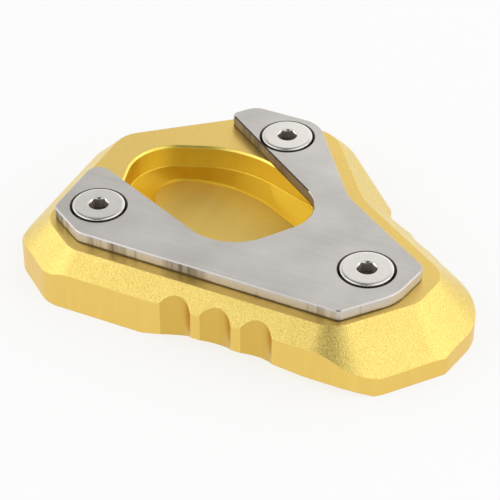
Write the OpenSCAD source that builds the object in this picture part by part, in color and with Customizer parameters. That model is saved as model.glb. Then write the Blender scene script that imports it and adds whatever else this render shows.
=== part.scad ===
// Foot enlarger for a motorbike side stand.
// A thick aluminium pad with an open pocket takes the foot of the stand.
// A forked steel plate, held by three countersunk screws, clamps over the foot.
// X runs along the scalloped front, Z is up, Z = 0 is the ground.

/* [Pad] */
// Height of the aluminium pad
body_h = 14; // [10:0.5:18]

/* [Scallops] */
// Radius of the front scallops
front_r = 4.6; // [4:0.1:7]
// Depth of each front scallop into the wall
front_depth = 2.1; // [1:0.1:3]
// Rounding of the lands beside each scallop
scallop_round = 0.9; // [0.4:0.1:1.5]
// Width of the land between two front scallops
front_land = 1.15; // [0.5:0.05:3]
// Scallops in the front wall
front_scallops = 3; // [1:1:4]
// Distance from the left end of the front wall to its first scallop
front_first = 32.4; // [20:0.1:38]
// Radius of the rear scallops
rear_r = 5.1; // [4:0.1:6]
// Scallops in the rear right wall
rear_scallops = 3; // [1:1:3]
// Distance from the right corner to the first rear scallop
rear_first = 18.9; // [16:0.1:22]
// Distance from one rear scallop to the next
rear_pitch = 9.6; // [9:0.05:12]
// Depth of the first rear scallop
rear_depth = 0.5; // [0.3:0.1:1]
// How much deeper each further rear scallop is
rear_deepening = 0.85; // [0:0.05:1]

/* [Front undercut] */
// Greatest height of the bevel under the front edge
undercut_deep = 3.05; // [1:0.05:4]
// Share of that height that its lower part keeps, out to the right corner
undercut_share = 0.64; // [0.3:0.02:0.9]
// Slope of that bevel, from level
undercut_slope = 36; // [25:1:50]
// Where the bevel starts along X
undercut_from = -15.5; // [-20:0.5:-12]
// Where it reaches its greatest height
undercut_full = -4; // [-8:0.5:0]
// Where it starts to get lower
undercut_fall = 12.5; // [5:0.5:15]
// Where its lower part starts
undercut_level = 24; // [20:0.5:30]

/* [Pocket] */
// Depth of the upright upper wall
pocket_upper = 5.7; // [4:0.1:8]
// Depth of the whole pocket
pocket_depth = 9.9; // [8:0.1:11]
// Width of the bright bevel round the mouth
mouth_bevel = 0.45; // [0.2:0.05:1]
// Width of the bevel round the floor
floor_bevel = 0.5; // [0.2:0.05:1]
// Ledge between upper and lower wall
pocket_ledge = 0.15; // [0.05:0.05:0.5]

/* [Clamp plate] */
// Thickness of the steel plate
plate_t = 2.8; // [2:0.1:4]
// Broken edge round the plate
plate_edge = 0.28; // [0.1:0.02:0.6]

/* [Screws] */
// Length of the shank below the plate
shank_below = 8.8; // [6:0.1:10]
// Diameter of the screw shank
screw_d = 6; // [5:0.5:8]
// Diameter of the screw head
head_d = 12; // [10:0.5:14]
// Upright rim of the head above its cone
head_rim = 0.7; // [0.4:0.05:1]
// Height of the rounded edge on top of the head
head_crown = 0.4; // [0.2:0.05:0.6]
// Width of that rounded edge
head_crown_w = 0.75; // [0.4:0.05:1]
// Height of the head's face over the plate
head_proud = 0.5; // [0:0.05:1]
// Width across the flats of the hex socket
socket_af = 4; // [3:0.5:5]
// Depth of the hex socket
socket_depth = 2.5; // [2:0.1:3]
// Height of the bevel round the mouth of the socket
socket_rim = 0.4; // [0.2:0.05:0.6]
// Free space between shank and hole, on the radius
hole_gap = 0.05; // [0.03:0.01:0.2]
// Free depth below the end of the shank
hole_spare = 1.7; // [0.5:0.1:2]
// Countersink round the hole mouths in the pad, on the radius
hole_sink = 1.2; // [1:0.1:2]
// Least free space between the cone of a screw head and the pad, on the radius
sink_spare = 0.4; // [0.2:0.05:1]

/* [Hidden] */
$fn = 96;
// Steps in each rounding of an outline
steps = 12;

plate_top = body_h + plate_t;
hole_r = screw_d / 2 + hole_gap;
head_top = plate_top + head_proud;
cone_top = head_top - head_crown - head_rim;
cone_h = (head_d - screw_d) / 2;
shank_end = body_h - shank_below;
floor_z = body_h - pocket_depth;
crease_z = body_h - pocket_upper;
// Radius of the plate's countersinks at its upper face, so that the heads seat in
// them with cone on cone
sink_r = head_d / 2 + plate_top - cone_top;
// How far the sloping bevel's cutter reaches out from the top of the pad, which is
// past the wall on every side
bevel_reach = 12;

// Screw centres, two at the ends of the fork and one by the right corner
screws = [[-35.3, -18.36], [28.56, -13.72], [-8.28, 24.84]];

// Corners are [x, y, rounding] and run counter-clockwise.
// Outline of the flat top of the pad
top_corners = [
    [-35.38, -31.92, 6.5],
    [28.74, -32, 8],
    [41.84, -16.18, 5.5],
    [43.58, -4.92, 6],
    [16.38, 13.1, 16],
    [0.1, 34.52, 10],
    [-18.7, 34.52, 5],
    [-45.6, 12.32, 7],
    [-45.6, -24.36, 7]
];

// Outline of the upright wall, before the scallops
front_left = [-39.5, -36.28, 8];
front_right = [37.5, -36.28, 13];
right_low = [50.34, -20.26, 2.5];
right_high = [53.08, -4.1, 12.8];
rear_right = [2.4, 36.28, 12];
rear_left = [-20.9, 36.28, 6];
left_high = [-52, 14.82, 7];
left_low = [-52, -26.48, 6];

// Outline of the clamp plate, with the fork open to the upper left
plate_corners = [
    [-34.86, -29.16, 4.5],
    [28.88, -29.52, 2],
    [37.8, -18.84, 12],
    [39.78, -7.62, 3],
    [14.24, 9.34, 16],
    [-3.72, 33.26, 7],
    [-20.5, 33.22, 5],
    [-24.56, 27.98, 1.5],
    [13.36, 1.4, 10],
    [-2.8, -21.4, 12.5],
    [-44.3, -3.04, 3.1],
    [-44.3, -23.12, 2.5]
];

// Outline of the pocket's mouth
mouth_corners = [
    [-34.94, -10.48, 9],
    [-11.3, -23.48, 12],
    [11.7, -18.48, 12],
    [16.7, 7.82, 8],
    [-17.1, 19.52, 25.5],
    [-40.4, 10.2, 11.2]
];

// Outline of the pocket's floor, turned and smaller
floor_corners = [
    [-26.54, -8.48, 8],
    [-11.3, -20.98, 10],
    [9.7, -15.98, 10],
    [13.7, 2.78, 8],
    [-16.84, 18.82, 30],
    [-38, 11.72, 7.2]
];

// Rounded outlines

function at(c, i) = c[(i + len(c)) % len(c)];

function spot(c, i) = [at(c, i)[0], at(c, i)[1]];

function flat_part(p) = [p[0], p[1]];

function unit(v) = v / norm(v);

// Direction of the edge that leaves corner i
function way(c, i) = unit(spot(c, i + 1) - spot(c, i));

// Outward side of a direction
function side(d) = [d[1], -d[0]];

function turn(c, i) =
    atan2(cross(way(c, i - 1), way(c, i)), way(c, i - 1) * way(c, i));

// Length that a rounding takes from each of its two edges
function reach(c, i) = at(c, i)[2] * tan(abs(turn(c, i)) / 2);

function arc_from(c, i) = spot(c, i) - way(c, i - 1) * reach(c, i);

function arc_to(c, i) = spot(c, i) + way(c, i) * reach(c, i);

function arc_mid(c, i) =
    arc_from(c, i) - side(way(c, i - 1)) * at(c, i)[2] * sign(turn(c, i));

// The same outline moved outward by d, or inward where d is negative
function grown(c, d) = [
    for (i = [0:len(c) - 1])
        let (
            a = side(way(c, i - 1)),
            b = side(way(c, i)),
            p = spot(c, i) + (a + b) * d / (1 + a * b)
        )
        [p[0], p[1], at(c, i)[2] + sign(turn(c, i)) * d]
];

function turned(v, angle) = [
    v[0] * cos(angle) - v[1] * sin(angle),
    v[0] * sin(angle) + v[1] * cos(angle)
];

// Points of a whole outline, with the same number of steps in each rounding
function rounded(c) = [
    for (i = [0:len(c) - 1])
        for (k = [0:steps])
            arc_mid(c, i) + turned(arc_from(c, i) - arc_mid(c, i), turn(c, i) * k / steps)
];

module outline(c) {
    polygon(rounded(c));
}

// Ring round an outline, from a profile of [outward, height] points that runs
// counter-clockwise
module ring(c, profile) {
    tracks = [for (q = profile) rounded(grown(c, q[0]))];
    m = len(tracks[0]);
    count = len(profile);
    points = [
        for (j = [0:count - 1])
            for (p = tracks[j])
                [p[0], p[1], profile[j][1]]
    ];
    faces = [
        for (j = [0:count - 1])
            for (k = [0:m - 1])
                let (
                    a = j * m + k,
                    b = j * m + (k + 1) % m,
                    e = (j + 1) % count * m + k,
                    f = (j + 1) % count * m + (k + 1) % m
                )
                each [[a, f, b], [a, e, f]]
    ];
    polyhedron(points, faces);
}

// Solid skin over a row of convex rings of points, all with as many points. Each
// ring is listed clockwise as seen from before the first one.
module skin(rings) {
    m = len(rings[0]);
    last = len(rings) - 1;
    sides = [
        for (j = [0:last - 1])
            for (k = [0:m - 1])
                let (
                    a = j * m + k,
                    b = j * m + (k + 1) % m
                )
                each [[a, a + m, b + m], [a, b + m, b]]
    ];
    lid = [for (k = [0:m - 1]) last * m + m - 1 - k];
    polyhedron(
        [for (r = rings) each r],
        concat([[for (k = [0:m - 1]) k]], sides, [lid])
    );
}

// Solid through a stack of convex outlines, each given as [height, corners] from
// below. All outlines have as many corners, so their points pair up.
module loft(levels) {
    skin([for (l = levels) [for (p = rounded(l[1])) [p[0], p[1], l[0]]]]);
}

// The pad

// Half the width that a scallop takes, with its rounded lands
function scallop_reach(r, depth) =
    sqrt(pow(r + scallop_round, 2) - pow(r + scallop_round - depth, 2));

// Three corners that draw one scallop of radius r, s along the wall from p to q
function scallop(p, q, s, depth, r) =
    let (
        d = unit(flat_part(q) - flat_part(p)),
        inward = -side(d),
        arc_y = r - depth,
        reach_x = scallop_reach(r, depth),
        lean = asin(reach_x / (r + scallop_round)),
        half = reach_x - scallop_round * tan(lean / 2),
        tip = r / cos(lean) - arc_y,
        a = flat_part(p) + d * (s - half),
        b = flat_part(p) + d * s + inward * tip,
        e = flat_part(p) + d * (s + half)
    )
    [
        [a[0], a[1], scallop_round],
        [b[0], b[1], r - 0.05],
        [e[0], e[1], scallop_round]
    ];

function front_row() =
    let (pitch = 2 * scallop_reach(front_r, front_depth) + front_land)
    [
        for (k = [0:front_scallops - 1])
            each scallop(
                front_left,
                front_right,
                front_first + k * pitch,
                front_depth,
                front_r
            )
    ];

function rear_row() = [
    for (k = [0:rear_scallops - 1])
        each scallop(
            right_high,
            rear_right,
            rear_first + k * rear_pitch,
            rear_depth + k * rear_deepening,
            rear_r
        )
];

wall_corners = concat(
    [front_left],
    front_row(),
    [front_right, right_low, right_high],
    rear_row(),
    [rear_right, rear_left, left_high, left_low]
);

// Bevel under the front edge. Its upper line is drawn on the front wall and runs
// back and down under the pad.
module undercut() {
    over = 1;
    rise = tan(undercut_slope);
    back = undercut_deep / rise + over;
    base = -over - over * rise;
    line = [
        [undercut_from, 0],
        [undercut_full, undercut_deep],
        [undercut_fall, undercut_deep],
        [undercut_level, undercut_deep * undercut_share],
        [right_low[0], undercut_deep * undercut_share],
        [right_low[0], base],
        [undercut_from, base]
    ];
    translate([0, front_left[1], 0])
        skin([
            for (y = [-over, back])
                [for (p = line) [p[0], y, p[1] - y * rise]]
        ]);
}

// From the bevelled floor up a sloping wall to the ledge, then the upright wall
// and the bevel of the mouth, carried on a little above the pad
module pocket() {
    over = 0.5;
    loft([
        [floor_z, grown(floor_corners, -floor_bevel)],
        [floor_z + floor_bevel, floor_corners],
        [crease_z, grown(mouth_corners, -pocket_ledge)],
        [crease_z, mouth_corners],
        [body_h - mouth_bevel, mouth_corners],
        [body_h + over, grown(mouth_corners, mouth_bevel + over)]
    ]);
}

// Blind hole in the pad. Its countersink also keeps clear of the screw's cone.
module screw_hole() {
    bottom = shank_end - hole_spare;
    clear_r = sink_r - plate_t + sink_spare;
    translate([0, 0, bottom])
        cylinder(h = body_h - bottom + 1, r = hole_r);
    translate([0, 0, body_h - hole_sink])
        cylinder(h = hole_sink + 1, r1 = hole_r, r2 = hole_r + hole_sink + 1);
    translate([0, 0, body_h - clear_r])
        cylinder(h = clear_r + 1, r1 = 0, r2 = clear_r + 1);
}

module base_block() {
    color([0.87, 0.72, 0.35])
    difference() {
        linear_extrude(body_h)
            outline(wall_corners);
        ring(top_corners, [
            [-1, body_h + 1],
            [bevel_reach, body_h - bevel_reach],
            [bevel_reach, body_h + 1]
        ]);
        undercut();
        pocket();
        for (p = screws)
            translate(p)
                screw_hole();
    }
}

// The clamp plate

module plate_hole() {
    translate([0, 0, -1])
        cylinder(h = plate_t + 2, r = hole_r);
    translate([0, 0, plate_t - sink_r])
        cylinder(h = sink_r + 1, r1 = 0, r2 = sink_r + 1);
}

module clamp_plate() {
    color([0.74, 0.73, 0.71])
    translate([0, 0, body_h])
        difference() {
            linear_extrude(plate_t)
                outline(plate_corners);
            ring(plate_corners, [
                [-plate_edge - 0.5, plate_t + 0.5],
                [0.5, plate_t - plate_edge - 0.5],
                [0.5, plate_t + 0.5]
            ]);
            for (p = screws)
                translate(p)
                    plate_hole();
        }
}

// The screws

// One turned profile from the end of the shank to the face of the head
module screw_blank() {
    head_r = head_d / 2;
    crown = [
        for (k = [0:steps])
            let (a = 90 * k / steps)
            [
                head_r - head_crown_w * (1 - cos(a)),
                cone_top + head_rim + head_crown * sin(a)
            ]
    ];
    rotate_extrude()
        polygon(concat(
            [
                [0, shank_end],
                [screw_d / 2, shank_end],
                [screw_d / 2, cone_top - cone_h],
                [head_r, cone_top]
            ],
            crown,
            [[0, head_top]]
        ));
}

module screw() {
    difference() {
        screw_blank();
        translate([0, 0, head_top - socket_depth])
            rotate([0, 0, 25.6])
                cylinder(h = socket_depth + 1, d = socket_af / cos(30), $fn = 6);
        translate([0, 0, head_top - socket_rim])
            cylinder(h = socket_rim, d1 = socket_af, d2 = socket_af + 2 * socket_rim);
    }
}

module clamp_screws() {
    color([0.83, 0.82, 0.80])
    for (p = screws)
        translate(p)
            screw();
}

base_block();
clamp_plate();
clamp_screws();
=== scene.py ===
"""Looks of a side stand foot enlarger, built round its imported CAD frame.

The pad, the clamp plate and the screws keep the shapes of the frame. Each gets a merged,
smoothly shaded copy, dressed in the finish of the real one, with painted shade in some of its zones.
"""

import functools
import logging
import math
from abc import ABC, abstractmethod
from dataclasses import dataclass, field
from enum import Enum
from typing import Any, Callable, Optional, Sequence, Union

import bmesh
import bpy
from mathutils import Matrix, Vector


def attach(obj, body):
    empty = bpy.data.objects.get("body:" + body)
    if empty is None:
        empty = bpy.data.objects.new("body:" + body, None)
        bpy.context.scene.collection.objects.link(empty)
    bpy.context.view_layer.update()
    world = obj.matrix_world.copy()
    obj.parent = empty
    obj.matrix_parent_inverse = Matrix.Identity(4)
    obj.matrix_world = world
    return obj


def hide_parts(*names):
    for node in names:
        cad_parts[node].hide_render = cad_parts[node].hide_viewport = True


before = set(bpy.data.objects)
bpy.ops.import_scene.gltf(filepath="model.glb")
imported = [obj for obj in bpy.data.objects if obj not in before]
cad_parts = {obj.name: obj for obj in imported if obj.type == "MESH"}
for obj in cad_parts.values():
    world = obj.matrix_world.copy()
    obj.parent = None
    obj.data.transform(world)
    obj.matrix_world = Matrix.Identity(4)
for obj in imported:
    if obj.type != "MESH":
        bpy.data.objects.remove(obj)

log = logging.getLogger("foot_enlarger")
MM = 0.001
Triple = tuple[float, float, float]
Colour = Triple
WHITE: Colour = (1.0, 1.0, 1.0)
# Mean of a Noise node's value.
NOISE_MEAN = 0.5
# Rays that a Bevel node casts to round an edge.
EDGE_SAMPLES = 6


def linear(red: int, green: int, blue: int) -> Colour:
    """Turn a screen colour into the linear values that shaders use.

    Args:
        red: red from 0 to 255.
        green: green from 0 to 255.
        blue: blue from 0 to 255.

    Returns:
        The three linear values.
    """

    def one(value: int) -> float:
        """Linear value of one channel."""
        share = value / 255
        return share / 12.92 if share <= 0.04045 else ((share + 0.055) / 1.055) ** 2.4

    return one(red), one(green), one(blue)


# Shader maths


class Value:
    """A number on a shader socket, with arithmetic that adds Math nodes."""

    def __init__(self, book: "NodeBook", socket: bpy.types.NodeSocket) -> None:
        """Keep the socket and the node book it belongs to."""
        self.book = book
        self.socket = socket

    def _math(self, operation: str, *parts: Union["Value", float]) -> "Value":
        """Add one Math node and return its result."""
        made = self.book.node("ShaderNodeMath", {"operation": operation}, dict(enumerate(parts)))
        return Value(self.book, made[0])

    def __add__(self, other: Union["Value", float]) -> "Value":
        """Sum."""
        return self._math("ADD", self, other)

    __radd__ = __add__

    def __sub__(self, other: Union["Value", float]) -> "Value":
        """Difference."""
        return self._math("SUBTRACT", self, other)

    def __rsub__(self, other: float) -> "Value":
        """Difference with the number first."""
        return self._math("SUBTRACT", other, self)

    def __mul__(self, other: Union["Value", float]) -> "Value":
        """Product."""
        return self._math("MULTIPLY", self, other)

    __rmul__ = __mul__

    def __truediv__(self, other: Union["Value", float]) -> "Value":
        """Quotient."""
        return self._math("DIVIDE", self, other)

    def __rtruediv__(self, other: float) -> "Value":
        """Quotient with the number first."""
        return self._math("DIVIDE", other, self)

    def least(self, other: Union["Value", float]) -> "Value":
        """Smaller of two values."""
        return self._math("MINIMUM", self, other)

    def wave(self) -> "Value":
        """Sine, brought to run from 0 to 1."""
        return self._math("SINE", self) * 0.5 + 0.5

    def limited(self) -> "Value":
        """Value held between 0 and 1."""
        return self._math("MINIMUM", self._math("MAXIMUM", self, 0.0), 1.0)

    def swing(self, reach: float, middle: float = NOISE_MEAN) -> "Value":
        """Value moved to swing about 0, over that reach."""
        return (self - middle) * reach

    def eased(self, start: float, end: float, first: float, last: float) -> "Value":
        """Level that changes smoothly as the value grows.

        Args:
            start: value at which the change starts.
            end: value at which it ends.
            first: level up to the start.
            last: level from the end on.

        Returns:
            The level.
        """
        inputs = {"Value": self, "From Min": start, "From Max": end, "To Min": first, "To Max": last}
        made = self.book.node("ShaderNodeMapRange", {"interpolation_type": "SMOOTHSTEP"}, inputs)
        return Value(self.book, made[0])


class NodeBook:
    """The node tree of a material or of the world."""

    def __init__(self, tree: bpy.types.NodeTree) -> None:
        """Keep the tree."""
        self.tree = tree

    def node(
        self,
        kind: str,
        settings: Optional[dict[str, Any]] = None,
        inputs: Optional[dict[Union[str, int], Any]] = None,
    ) -> "bpy.types.bpy_prop_collection":
        """Add a node.

        Args:
            kind: Blender's type name of the node.
            settings: attributes of the node, set first.
            inputs: values, Value objects or sockets for the node's inputs.

        Returns:
            The outputs of the new node.
        """
        made = self.tree.nodes.new(kind)
        for key, value in (settings or {}).items():
            setattr(made, key, value)
        for key, value in (inputs or {}).items():
            self.feed(made.inputs[key], value)
        return made.outputs

    def present(self, kind: str) -> bpy.types.Node:
        """Node of that type that a new tree already holds."""
        return next(n for n in self.tree.nodes if n.bl_idname == kind)

    def feed(self, socket: bpy.types.NodeSocket, value: Any) -> None:
        """Link or set one input socket.

        Args:
            socket: the input.
            value: a Value, a socket, a number, a vector or a colour.
        """
        if isinstance(value, Value):
            value = value.socket
        if isinstance(value, bpy.types.NodeSocket):
            self.tree.links.new(value, socket)
        elif isinstance(value, tuple) and len(value) == 3 and socket.type == "RGBA":
            socket.default_value = (*value, 1.0)
        else:
            socket.default_value = value


class Finishing(NodeBook):
    """One material under construction."""

    def __init__(self, name: str) -> None:
        """Start a node material.

        Args:
            name: name of the new material.
        """
        self.material = bpy.data.materials.new(name)
        self.material.use_nodes = True
        super().__init__(self.material.node_tree)
        self.shader = self.present("ShaderNodeBsdfPrincipled")
        self.place = self.node("ShaderNodeTexCoord")["Object"]

    def set(self, **sockets: Any) -> None:
        """Feed sockets of the main shader, with underscores for spaces."""
        for name, value in sockets.items():
            self.feed(self.shader.inputs[name.replace("_", " ")], value)

    def noise(
        self, scale: float, detail: float = 2.0, stretch: Triple = (1.0, 1.0, 1.0), rough: float = 0.5
    ) -> Value:
        """Noise on Object coordinates.

        Args:
            scale: features per metre.
            detail: octaves.
            stretch: scale of each axis before the noise.
            rough: strength of the finer octaves.

        Returns:
            The noise value, from 0 to 1.
        """
        spot = self.node("ShaderNodeMapping", inputs={"Vector": self.place, "Scale": stretch})[0]
        inputs = {"Vector": spot, "Scale": scale, "Detail": detail, "Roughness": rough}
        return Value(self, self.node("ShaderNodeTexNoise", inputs=inputs)[0])

    def height(self) -> Value:
        """Height above the ground in metres."""
        return Value(self, self.node("ShaderNodeSeparateXYZ", inputs={0: self.place})["Z"])

    def nearest(self, centres: Sequence[tuple[float, float]]) -> Value:
        """Distance from the nearest of some upright axes.

        Args:
            centres: where each axis stands, seen from above.

        Returns:
            The level distance in metres.
        """
        level = {"operation": "MULTIPLY"}
        apart = {"operation": "DISTANCE"}
        flat = self.node("ShaderNodeVectorMath", level, {0: self.place, 1: (1.0, 1.0, 0.0)})[0]
        gaps = (self.node("ShaderNodeVectorMath", apart, {0: flat, 1: (x, y, 0.0)}) for x, y in centres)
        return functools.reduce(Value.least, (Value(self, gap["Value"]) for gap in gaps))

    def mix(self, share: Value, first: Colour, second: Colour) -> bpy.types.NodeSocket:
        """Blend two colours by a share from 0 to 1."""
        return self.node("ShaderNodeMix", {"data_type": "RGBA"}, {0: share, 6: first, 7: second})[2]

    def relief(self, height: Value, depth: float, soft_edge: float) -> bpy.types.NodeSocket:
        """Normal from a height pattern, over edges that are rounded a little.

        Args:
            height: pattern from 0 to 1.
            depth: height of the pattern in metres.
            soft_edge: radius of the rounded edges in metres, or 0 for sharp ones.

        Returns:
            The normal for the shader.
        """
        inputs: dict[Union[str, int], Any] = {"Height": height, "Strength": 1.0, "Distance": depth}
        if soft_edge > 0:
            inputs["Normal"] = self.node("ShaderNodeBevel", {"samples": EDGE_SAMPLES}, {"Radius": soft_edge})[0]
        return self.node("ShaderNodeBump", inputs=inputs)[0]


# Finishes


@dataclass(frozen=True)
class Pattern:
    """What changes over a metal finish, each part from 0 to 1."""

    pale: Value
    haze: Value
    height: Value


@dataclass(frozen=True)
class Metal(ABC):
    """A metal finish: two tones and a roughness that follow a pattern, and a fine relief.

    Each finish below gives these fields its own values, and says in pattern() what the
    surface looks like up close.
    """

    name: str
    tone: Colour
    deep_tone: Colour
    roughness: float
    depth: float
    roughness_swing: float = 0.1
    edge: float = 0.0
    metallic: float = 1.0

    @abstractmethod
    def pattern(self, book: Finishing) -> Pattern:
        """Pattern of the surface."""

    def make(self) -> bpy.types.Material:
        """Build the material.

        Returns:
            The new material.
        """
        book = Finishing(self.name)
        pattern = self.pattern(book)
        book.set(
            Base_Color=book.mix(pattern.pale.limited(), self.deep_tone, self.tone),
            Metallic=self.metallic,
            Roughness=(self.roughness + pattern.haze.swing(self.roughness_swing)).limited(),
            Normal=book.relief(pattern.height, self.depth, self.edge),
        )
        return book.material


@dataclass(frozen=True)
class BlastedGold(Metal):
    """Bead-blasted, gold anodised aluminium."""

    name: str = "blasted_gold"
    tone: Colour = linear(249, 226, 137)
    deep_tone: Colour = linear(219, 188, 93)
    roughness: float = 0.32
    depth: float = 0.09 * MM
    roughness_swing: float = 0.2
    edge: float = 0.22 * MM
    grain: float = 0.32 * MM
    grain_contrast: float = 2.8
    cloud: float = 9.0 * MM
    cloud_contrast: float = 0.3
    pale_share: float = 0.35

    def pattern(self, book: Finishing) -> Pattern:
        """Fine grain of the beads, over broad soft clouds."""
        grain = book.noise(1 / self.grain, detail=3.0, rough=0.6)
        cloud = book.noise(1 / self.cloud, detail=3.0)
        pale = cloud * self.cloud_contrast + grain.swing(self.grain_contrast) + self.pale_share
        return Pattern(pale, grain, grain)


@dataclass(frozen=True)
class WallGold(Metal):
    """Smoother upright wall of the pad, with faint marks of the milling cutter."""

    name: str = "wall_gold"
    tone: Colour = linear(243, 210, 115)
    deep_tone: Colour = linear(231, 195, 98)
    roughness: float = 0.36
    depth: float = 0.012 * MM
    edge: float = 0.22 * MM
    lines_per_metre: float = 520.0
    line_stretch: Triple = (1.0, 1.0, 0.08)
    line_share: float = 0.7
    line_height: float = 0.4
    grain: float = 0.3 * MM
    grain_share: float = 0.5
    grain_height: float = 0.6
    pale_share: float = -0.1

    def pattern(self, book: Finishing) -> Pattern:
        """Upright lines of the cutter, over a fine grain."""
        lines = book.noise(self.lines_per_metre, stretch=self.line_stretch)
        grain = book.noise(1 / self.grain)
        pale = lines * self.line_share + grain * self.grain_share + self.pale_share
        return Pattern(pale, grain, lines * self.line_height + grain * self.grain_height)


@dataclass(frozen=True)
class MilledGold(Metal):
    """Bright end-milled wall of the pocket, gold anodised."""

    name: str = "milled_gold"
    tone: Colour = linear(254, 234, 124)
    deep_tone: Colour = linear(242, 212, 88)
    roughness: float = 0.3
    depth: float = 0.006 * MM
    edge: float = 0.15 * MM
    passes_per_metre: float = 420.0
    pass_stretch: Triple = (1.0, 1.0, 0.12)
    pass_share: float = 0.7
    bands_per_metre: float = 90.0
    band_stretch: Triple = (0.3, 0.3, 30.0)
    band_share: float = 0.6
    pale_share: float = -0.15

    def pattern(self, book: Finishing) -> Pattern:
        """Upright passes of the cutter, crossed by level bands."""
        passes = book.noise(self.passes_per_metre, stretch=self.pass_stretch)
        bands = book.noise(self.bands_per_metre, stretch=self.band_stretch)
        return Pattern(passes * self.pass_share + bands * self.band_share + self.pale_share, passes, passes)


@dataclass(frozen=True)
class PocketFloorGold(Metal):
    """Face-milled floor of the pocket, gold anodised."""

    name: str = "pocket_floor_gold"
    tone: Colour = linear(250, 225, 140)
    deep_tone: Colour = linear(238, 209, 116)
    roughness: float = 0.6
    depth: float = 0.07 * MM
    sweeps_per_metre: float = 260.0
    sweep_stretch: Triple = (1.0, 0.08, 1.0)
    sweep_share: float = 0.7
    grain: float = 0.35 * MM
    grain_share: float = 0.5
    pale_share: float = -0.1

    def pattern(self, book: Finishing) -> Pattern:
        """Sweeps of the cutter along Y, under a fine grain."""
        grain = book.noise(1 / self.grain)
        sweep = book.noise(self.sweeps_per_metre, stretch=self.sweep_stretch)
        return Pattern(grain * self.grain_share + sweep * self.sweep_share + self.pale_share, sweep, grain)


@dataclass(frozen=True)
class BrushedSteel(Metal):
    """Finely ground face of the stainless clamp plate."""

    name: str = "brushed_steel"
    tone: Colour = linear(216, 212, 207)
    deep_tone: Colour = linear(180, 176, 171)
    roughness: float = 0.31
    depth: float = 0.006 * MM
    roughness_swing: float = 0.12
    edge: float = 0.1 * MM
    lines_per_metre: float = 900.0
    line_stretch: Triple = (0.05, 1.0, 1.0)
    line_share: float = 0.5
    line_height: float = 0.6
    speck: float = 0.3 * MM
    speck_contrast: float = 0.8
    speck_height: float = 0.4
    cloud: float = 14.0 * MM
    cloud_contrast: float = 1.2
    pale_share: float = 0.25

    def pattern(self, book: Finishing) -> Pattern:
        """Lines of the brush along X, with specks and broad clouds."""
        lines = book.noise(self.lines_per_metre, detail=3.0, stretch=self.line_stretch)
        speck = book.noise(1 / self.speck)
        cloud = book.noise(1 / self.cloud)
        blots = speck.swing(self.speck_contrast) + cloud.swing(self.cloud_contrast)
        pale = lines * self.line_share + blots + self.pale_share
        return Pattern(pale, lines, lines * self.line_height + speck * self.speck_height)


@dataclass(frozen=True)
class CutSteel(Metal):
    """Cut and tumbled side face of the clamp plate, with painted shade darkening its foot where it meets the
    pad.
    """

    name: str = "cut_steel"
    tone: Colour = linear(208, 203, 198)
    # Deep tone of the dark streaks, and of the painted shade at the foot.
    deep_tone: Colour = linear(76, 68, 60)
    roughness: float = 0.42
    depth: float = 0.012 * MM
    roughness_swing: float = 0.2
    edge: float = 0.3 * MM
    metallic: float = 0.6
    # Painted shade along the foot of the side, where it meets the pad: full at this height, fading out over the
    # distance on the next line.
    foot: float = 14.1 * MM
    painted_shade_fade: float = 0.6 * MM
    streaks_per_metre: float = 620.0
    streak_stretch: Triple = (1.0, 1.0, 0.05)
    streak_contrast: float = 2.4
    bands_per_metre: float = 70.0
    band_stretch: Triple = (1.0, 1.0, 0.1)
    band_contrast: float = 3.6
    middle: float = 0.42
    pale_share: float = 0.6

    def pattern(self, book: Finishing) -> Pattern:
        """Upright streaks, gathered in broad bands, over painted shade towards the foot."""
        streaks = book.noise(self.streaks_per_metre, detail=3.0, stretch=self.streak_stretch)
        bands = book.noise(self.bands_per_metre, detail=1.0, stretch=self.band_stretch)
        # Painted shade: towards its foot the side darkens to the deep tone.
        clear = ((book.height() - self.foot) / self.painted_shade_fade).limited()
        marks = streaks.swing(self.streak_contrast, self.middle) + bands.swing(self.band_contrast, self.middle)
        return Pattern((marks + self.pale_share) * clear, streaks, streaks)


@dataclass(frozen=True)
class TurnedSteel(Metal):
    """Turned and polished stainless steel of the screws."""

    name: str = "turned_steel"
    tone: Colour = linear(225, 222, 217)
    deep_tone: Colour = linear(206, 202, 196)
    roughness: float = 0.13
    depth: float = 0.0015 * MM
    edge: float = 0.22 * MM
    centres: tuple[tuple[float, float], ...] = ()
    pitch: float = 0.16 * MM
    ring_share: float = 0.35
    hazes_per_metre: float = 500.0
    haze_share: float = 0.7

    def pattern(self, book: Finishing) -> Pattern:
        """Rings of the lathe round each screw's axis, under a soft haze."""
        rings = (book.nearest(self.centres) * (2 * math.pi / self.pitch)).wave()
        haze = book.noise(self.hazes_per_metre)
        return Pattern(rings * self.ring_share + haze * self.haze_share, haze, rings)


@dataclass(frozen=True)
class ShadedSteel(Metal):
    """Dull steel in the sockets, the countersinks and under the heads, its tones set by each use; its dark
    tones are painted shade of these recesses.
    """

    name: str = "shaded_steel"
    # Dark default tones: painted shade in the countersinks of the plate and under the screw heads.
    tone: Colour = linear(92, 84, 78)
    deep_tone: Colour = linear(48, 42, 38)
    roughness: float = 0.42
    depth: float = 0.01 * MM
    roughness_swing: float = 0.2
    smears_per_metre: float = 800.0
    smear_stretch: Triple = (1.0, 1.0, 0.3)

    def pattern(self, book: Finishing) -> Pattern:
        """Smears that run down, across the painted shade."""
        smear = book.noise(self.smears_per_metre, detail=3.0, stretch=self.smear_stretch)
        return Pattern(smear, smear, smear)


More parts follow.
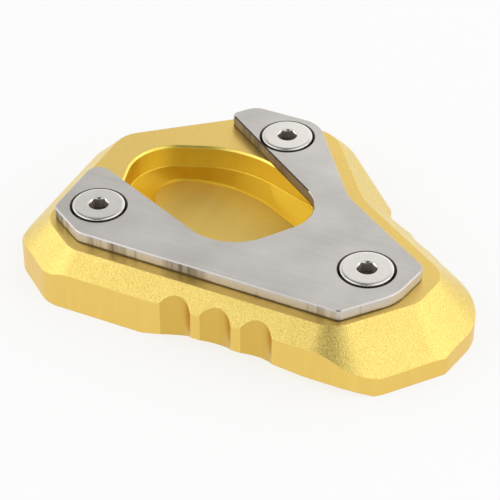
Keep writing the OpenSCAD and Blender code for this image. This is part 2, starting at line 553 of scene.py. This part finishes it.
@dataclass(frozen=True)
class PaleFloor:
    """Matt white table under the object, near white to the camera and to the metal."""

    tone: Colour = WHITE
    deep_tone: Colour = linear(252, 251, 250)
    roughness: float = 0.9
    specks_per_metre: float = 180.0
    glow: float = 0.76

    def make(self) -> bpy.types.Material:
        """Build the material.

        Returns:
            The new material.
        """
        book = Finishing("pale_floor")
        speck = book.noise(self.specks_per_metre)
        paint = book.mix(speck, self.deep_tone, self.tone)
        book.set(Base_Color=paint, Roughness=self.roughness, Specular_IOR_Level=0.0)
        path = book.node("ShaderNodeLightPath")
        straight, mirrored, through = (
            Value(book, path[f"Is {kind} Ray"]) for kind in ("Camera", "Glossy", "Transmission")
        )
        share = ((straight + mirrored + through) * self.glow).limited()
        white = book.node("ShaderNodeEmission", inputs={"Color": WHITE, "Strength": 1.0})[0]
        blend = book.node("ShaderNodeMixShader", inputs={0: share, 1: book.shader.outputs[0], 2: white})[0]
        book.feed(book.present("ShaderNodeOutputMaterial").inputs["Surface"], blend)
        return book.material


# Pieces

# Distance within which points of the frame's loose triangles are one point.
MERGE_REACH = 0.06 * MM
# Angles in degrees: faces that turn less are one flat face, edges that turn more stay sharp.
FLAT_ANGLE = 0.8
CREASE = 24.0
SCREW_CREASE = 35.0
# Weight of large faces in the smooth shading, where 50 is neutral and 100 the most.
FACE_WEIGHT = 90
# Upward part of a face's normal: past LEVEL the face is level, below UPRIGHT it is a wall.
LEVEL = 0.9
UPRIGHT = 0.3


def seated_copy(node: str, name: str, crease: float = CREASE) -> bpy.types.Object:
    """Copy a node of the frame, merged and smoothly shaded, and let the copy stand for it.

    Args:
        node: node of the frame.
        name: name of the new piece.
        crease: angle in degrees past which an edge stays sharp.

    Returns:
        The new piece.
    """
    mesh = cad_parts[node].data.copy()
    mesh.name = name
    shape = bmesh.new()
    shape.from_mesh(mesh)
    bmesh.ops.remove_doubles(shape, verts=shape.verts, dist=MERGE_REACH)
    flat = math.radians(FLAT_ANGLE)
    bmesh.ops.dissolve_limit(shape, angle_limit=flat, verts=shape.verts, edges=shape.edges, delimit={"NORMAL"})
    for face in shape.faces:
        face.smooth = True
    for edge in shape.edges:
        edge.smooth = edge.is_manifold and edge.calc_face_angle(0.0) < math.radians(crease)
    shape.to_mesh(mesh)
    shape.free()
    old_normals = mesh.attributes.get("custom_normal")
    if old_normals is not None:
        mesh.attributes.remove(old_normals)
    mesh.materials.clear()
    piece = bpy.data.objects.new(name, mesh)
    bpy.context.scene.collection.objects.link(piece)
    weigh = piece.modifiers.new("even_normals", "WEIGHTED_NORMAL")
    weigh.keep_sharp = True
    weigh.weight = FACE_WEIGHT
    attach(piece, "root")
    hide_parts(node)
    return piece


def dress(piece: bpy.types.Object, finishes: Sequence[Metal], zone: Callable[[Vector, Vector], Enum]) -> None:
    """Make the finishes of a piece, and give each face the finish of its zone.

    Args:
        piece: the piece.
        finishes: its finishes, in the order of the zones' numbers.
        zone: tells the zone of a face from its centre and its normal.
    """
    for finish in finishes:
        piece.data.materials.append(finish.make())
    for polygon in piece.data.polygons:
        polygon.material_index = zone(polygon.center, polygon.normal).value


@dataclass
class Pad:
    """The gold pad with its foot pocket."""

    height: float = 14.0 * MM
    floor_height: float = 4.1 * MM
    floor_bevel: float = 0.5 * MM
    ledge_height: float = 8.25 * MM
    slack: float = 0.1 * MM
    least_climb: float = 1.0 * MM
    # Corners of an outline that runs round the pocket, seen from above, in millimetres.
    mouth: tuple[tuple[float, float], ...] = (
        (-35.4, -10.9), (-11.3, -24.2), (12.3, -19.1), (17.4, 8.3), (-17.1, 20.3), (-41.2, 10.7),
    )
    # Places along X of the three front scallops, and how far each one reaches.
    scallops: tuple[float, ...] = (-7.1 * MM, 2.7 * MM, 12.49 * MM)
    scallop_half: float = 3.7 * MM
    scallop_back: float = -30.0 * MM

    class Zone(Enum):
        """Areas of the pad that get their own material: some were finished differently, and the top, the
        scallops and the pocket's slope get darker copies as painted shade.
        """

        OUTSIDE = 0
        WALL = 1
        POCKET_WALL = 2
        POCKET_SLOPE = 3
        POCKET_FLOOR = 4
        SCALLOP = 5
        TOP = 6

    def build(self) -> bpy.types.Object:
        """Make the pad and dress it.

        Returns:
            The pad.
        """
        piece = seated_copy("base_block", "pad")
        # A darker copy of the milled gold on the lower, sloping wall of the pocket: painted shade low in the
        # pocket.
        slope_gold_painted_shade = MilledGold("slope_gold_painted_shade", linear(236, 199, 68), linear(224, 183, 52), roughness=0.56)
        # A darker copy of the wall gold in the front scallops: painted shade in these hollows.
        scallop_gold_painted_shade = WallGold("scallop_gold_painted_shade", linear(225, 189, 95), linear(214, 176, 81))
        # A darker copy of the blasted gold on the top face: painted shade of the plate over it.
        top_gold_painted_shade = BlastedGold("top_gold_painted_shade", linear(240, 209, 122), linear(228, 194, 104), depth=0.04 * MM)
        golds = (BlastedGold(), WallGold(), MilledGold(), slope_gold_painted_shade, PocketFloorGold(), scallop_gold_painted_shade, top_gold_painted_shade)
        dress(piece, golds, self._zone)
        for edge in piece.data.edges:
            if self._climbs_slope(*(piece.data.vertices[i].co for i in edge.vertices)):
                edge.use_edge_sharp = False
        return piece

    def _climbs_slope(self, start: Vector, end: Vector) -> bool:
        """Find the edges that run up the pocket's sloping wall, which curves without a crease.

        Args:
            start: one end of an edge.
            end: the other end.

        Returns:
            Whether the edge is one of them.
        """
        middle = (start + end) / 2
        foot = self.floor_height + self.floor_bevel
        on_slope = foot + self.slack < middle.z < self.ledge_height - self.slack
        return on_slope and abs(start.z - end.z) > self.least_climb and self.in_mouth(middle)

    def _zone(self, centre: Vector, normal: Vector) -> "Pad.Zone":
        """Tell the zone of a face.

        Args:
            centre: middle of the face.
            normal: the way the face points.

        Returns:
            The zone.
        """
        if normal.z > LEVEL and centre.z > self.height - self.slack:
            return Pad.Zone.TOP
        if not self.in_mouth(centre):
            if abs(normal.z) > UPRIGHT:
                return Pad.Zone.OUTSIDE
            return Pad.Zone.SCALLOP if self._in_scallop(centre) else Pad.Zone.WALL
        if centre.z < self.slack:
            return Pad.Zone.OUTSIDE
        if centre.z < self.floor_height + self.slack:
            return Pad.Zone.POCKET_FLOOR
        return Pad.Zone.POCKET_SLOPE if centre.z < self.ledge_height else Pad.Zone.POCKET_WALL

    def _in_scallop(self, spot: Vector) -> bool:
        """Whether a point of the wall lies in one of the front scallops."""
        return any(abs(spot.x - x) < self.scallop_half and spot.y < self.scallop_back for x in self.scallops)

    def in_mouth(self, spot: Vector) -> bool:
        """Tell whether a point lies in the outline round the pocket, seen from above.

        Args:
            spot: the point.

        Returns:
            Whether it lies inside.
        """
        for (ax, ay), (bx, by) in zip(self.mouth, self.mouth[1:] + self.mouth[:1]):
            if (bx - ax) * (spot.y / MM - ay) - (by - ay) * (spot.x / MM - ax) < 0:
                return False
        return True


@dataclass
class ClampPlate:
    """The forked steel plate."""

    pad: Pad
    screws: "Screws"
    # Upward part of the normal that the broken edge of the top has at least.
    broken_edge: float = 0.5

    class Zone(Enum):
        """Areas of the plate that get their own material: the face and the side were finished differently, and
        the slot and the countersinks get darker tones as painted shade.
        """

        FACE = 0
        SIDE = 1
        SLOT = 2
        SINK = 3

    def build(self) -> bpy.types.Object:
        """Make the plate and dress it.

        Returns:
            The plate.
        """
        piece = seated_copy("clamp_plate", "plate")
        # A darker copy of the cut steel for the walls of the slot: painted shade inside the fork.
        slot_steel_painted_shade = CutSteel("slot_steel_painted_shade", linear(150, 138, 124), linear(62, 54, 46))
        dress(piece, (BrushedSteel(), CutSteel(), slot_steel_painted_shade, ShadedSteel()), self._zone)
        return piece

    def _zone(self, centre: Vector, normal: Vector) -> "ClampPlate.Zone":
        """Tell the zone of a face.

        Args:
            centre: middle of the face.
            normal: the way the face points.

        Returns:
            The zone, which is the face of the plate for its broken edge too.
        """
        if abs(normal.z) > LEVEL:
            return ClampPlate.Zone.FACE
        if self.screws.distance(centre) < self.screws.sink_radius:
            return ClampPlate.Zone.SINK
        if normal.z > self.broken_edge:
            return ClampPlate.Zone.FACE
        return ClampPlate.Zone.SLOT if self.pad.in_mouth(centre) else ClampPlate.Zone.SIDE


@dataclass
class Screws:
    """The three countersunk screws."""

    centres: tuple[tuple[float, float], ...] = (
        (-35.3 * MM, -18.36 * MM),
        (28.56 * MM, -13.72 * MM),
        (-8.28 * MM, 24.84 * MM),
    )
    sink_radius: float = 6.8 * MM
    socket_radius: float = 2.35 * MM
    socket_mouth: float = 16.91 * MM
    rim_foot: float = 16.25 * MM

    class Zone(Enum):
        """Areas of the screws that get their own material, with darker tones as painted shade at the bottom of
        the sockets and under the heads.
        """

        CROWN = 0
        SOCKET = 1
        SOCKET_FLOOR = 2
        SHANK = 3

    def build(self) -> bpy.types.Object:
        """Make the screws and dress them.

        Returns:
            The screws, as one piece.
        """
        piece = seated_copy("clamp_screws", "screws", SCREW_CREASE)
        turned_steel = TurnedSteel(centres=self.centres)
        socket_steel = ShadedSteel(
            "socket_steel", linear(236, 229, 222), linear(150, 140, 132), roughness=0.22, metallic=0.75
        )
        # Darker tones at the floor of each hex socket: painted shade at the bottom of the recess.
        socket_floor_painted_shade = ShadedSteel(
            "socket_floor_painted_shade", linear(132, 120, 110), linear(84, 74, 66), roughness=0.5, metallic=0.8
        )
        dress(piece, (turned_steel, socket_steel, socket_floor_painted_shade, ShadedSteel()), self._zone)
        return piece

    def distance(self, spot: Vector) -> float:
        """Distance of a point from the nearest screw's axis."""
        return min(math.hypot(spot.x - x, spot.y - y) for x, y in self.centres)

    def _zone(self, centre: Vector, normal: Vector) -> "Screws.Zone":
        """Tell the zone of a face.

        Args:
            centre: middle of the face.
            normal: the way the face points.

        Returns:
            The zone.
        """
        if self.distance(centre) < self.socket_radius and centre.z < self.socket_mouth:
            return Screws.Zone.SOCKET if normal.z < LEVEL else Screws.Zone.SOCKET_FLOOR
        return Screws.Zone.CROWN if centre.z > self.rim_foot else Screws.Zone.SHANK


# Studio


@dataclass
class Lamp:
    """One soft box."""

    name: str
    towards: Triple
    distance: float
    size: float
    power: float

    def build(self, target: Vector) -> bpy.types.Object:
        """Hang the soft box so that it faces the target.

        Args:
            target: the point that it faces.

        Returns:
            The lamp.
        """
        data = bpy.data.lights.new(self.name, "AREA")
        data.shape = "SQUARE"
        data.size = self.size
        data.energy = self.power
        lamp = bpy.data.objects.new(self.name, data)
        way = Vector(self.towards).normalized()
        lamp.location = target + way * self.distance
        lamp.rotation_euler = (-way).to_track_quat("-Z", "Y").to_euler()
        bpy.context.scene.collection.objects.link(lamp)
        return lamp


@dataclass
class Studio:
    """Table, light and camera of the photograph."""

    # The camera: its place, what it looks at, its lens for a picture of that width, and
    # how near and how far it sees.
    eye: Vector = field(default_factory=lambda: Vector((156.733, -339.972, 293.549)) * MM)
    target: Vector = field(default_factory=lambda: Vector((2.7, -18.48, 16.8)) * MM)
    focal_pixels: float = 2053.14
    photo_pixels: int = 500
    sensor_width: float = 36.0
    sight: tuple[float, float] = (0.01, 20.0)
    # The table and the soft boxes.
    table_half: float = 3.0
    lamps: tuple[Lamp, ...] = (
        Lamp("key_box", (0.70, 0.08, 0.70), 0.8, 1.10, 2.6),
        Lamp("fill_box", (-0.56, -0.50, 0.70), 0.9, 0.8, 1.4),
        Lamp("back_box", (0.10, 0.86, 0.50), 0.9, 0.9, 0.7),
        Lamp("left_box", (-0.92, -0.12, 0.40), 0.9, 0.7, 0.5),
    )
    # The room: its walls turn into a darker ceiling between two heights of view.
    wall_strength: float = 1.05
    ceiling_strength: float = 0.35
    ceiling_rise: tuple[float, float] = (0.45, 0.85)
    # The dark of the camera's stand: where it is, its outer and inner angle, and its level.
    shade: Triple = (0.28, -0.62, 0.73)
    shade_reach: tuple[float, float] = (30.0, 10.0)
    shade_strength: float = 0.2

    def build(self) -> None:
        """Set up the table, the lamps, the world and the camera."""
        self._table()
        for lamp in self.lamps:
            lamp.build(self.target)
        self._world()
        self._camera()
        bpy.context.scene.view_settings.view_transform = "Standard"

    def _table(self) -> None:
        """Lay the pale table under the object."""
        shape = bmesh.new()
        bmesh.ops.create_grid(shape, x_segments=2, y_segments=2, size=self.table_half)
        mesh = bpy.data.meshes.new("table")
        shape.to_mesh(mesh)
        shape.free()
        mesh.materials.append(PaleFloor().make())
        table = bpy.data.objects.new("table", mesh)
        bpy.context.scene.collection.objects.link(table)

    def _world(self) -> None:
        """Light everything from a pale room with a darker ceiling and the dark of the camera's stand."""
        world = bpy.data.worlds.new("room")
        world.use_nodes = True
        bpy.context.scene.world = world
        book = NodeBook(world.node_tree)
        way = book.node("ShaderNodeTexCoord")["Generated"]
        height = Value(book, book.node("ShaderNodeSeparateXYZ", inputs={0: way})["Z"])
        room = height.eased(*self.ceiling_rise, self.wall_strength, self.ceiling_strength)
        stand = Vector(self.shade).normalized()
        likeness = book.node("ShaderNodeVectorMath", {"operation": "DOT_PRODUCT"}, {0: way, 1: stand})
        near = Value(book, likeness["Value"])
        outer, inner = (math.cos(math.radians(angle)) for angle in self.shade_reach)
        back = book.present("ShaderNodeBackground")
        book.feed(back.inputs["Color"], WHITE)
        book.feed(back.inputs["Strength"], room * near.eased(outer, inner, 1.0, self.shade_strength))

    def _camera(self) -> None:
        """Place the camera where the photograph was taken."""
        data = bpy.data.cameras.new("camera")
        data.sensor_width = self.sensor_width
        data.sensor_fit = "HORIZONTAL"
        data.lens = self.sensor_width * self.focal_pixels / self.photo_pixels
        data.clip_start, data.clip_end = self.sight
        camera = bpy.data.objects.new("camera", data)
        camera.location = self.eye
        camera.rotation_euler = (self.target - self.eye).to_track_quat("-Z", "Y").to_euler()
        bpy.context.scene.collection.objects.link(camera)
        bpy.context.scene.camera = camera


def main() -> None:
    """Build the pieces in order and report each one."""
    logging.basicConfig(level=logging.INFO, format="%(message)s")
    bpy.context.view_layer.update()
    Studio().build()
    log.info("studio ready")
    pad, screws = Pad(), Screws()
    for maker in (pad, ClampPlate(pad, screws), screws):
        piece = maker.build()
        log.info("%s: %d faces", piece.name, len(piece.data.polygons))


if __name__ == "__main__":
    main()
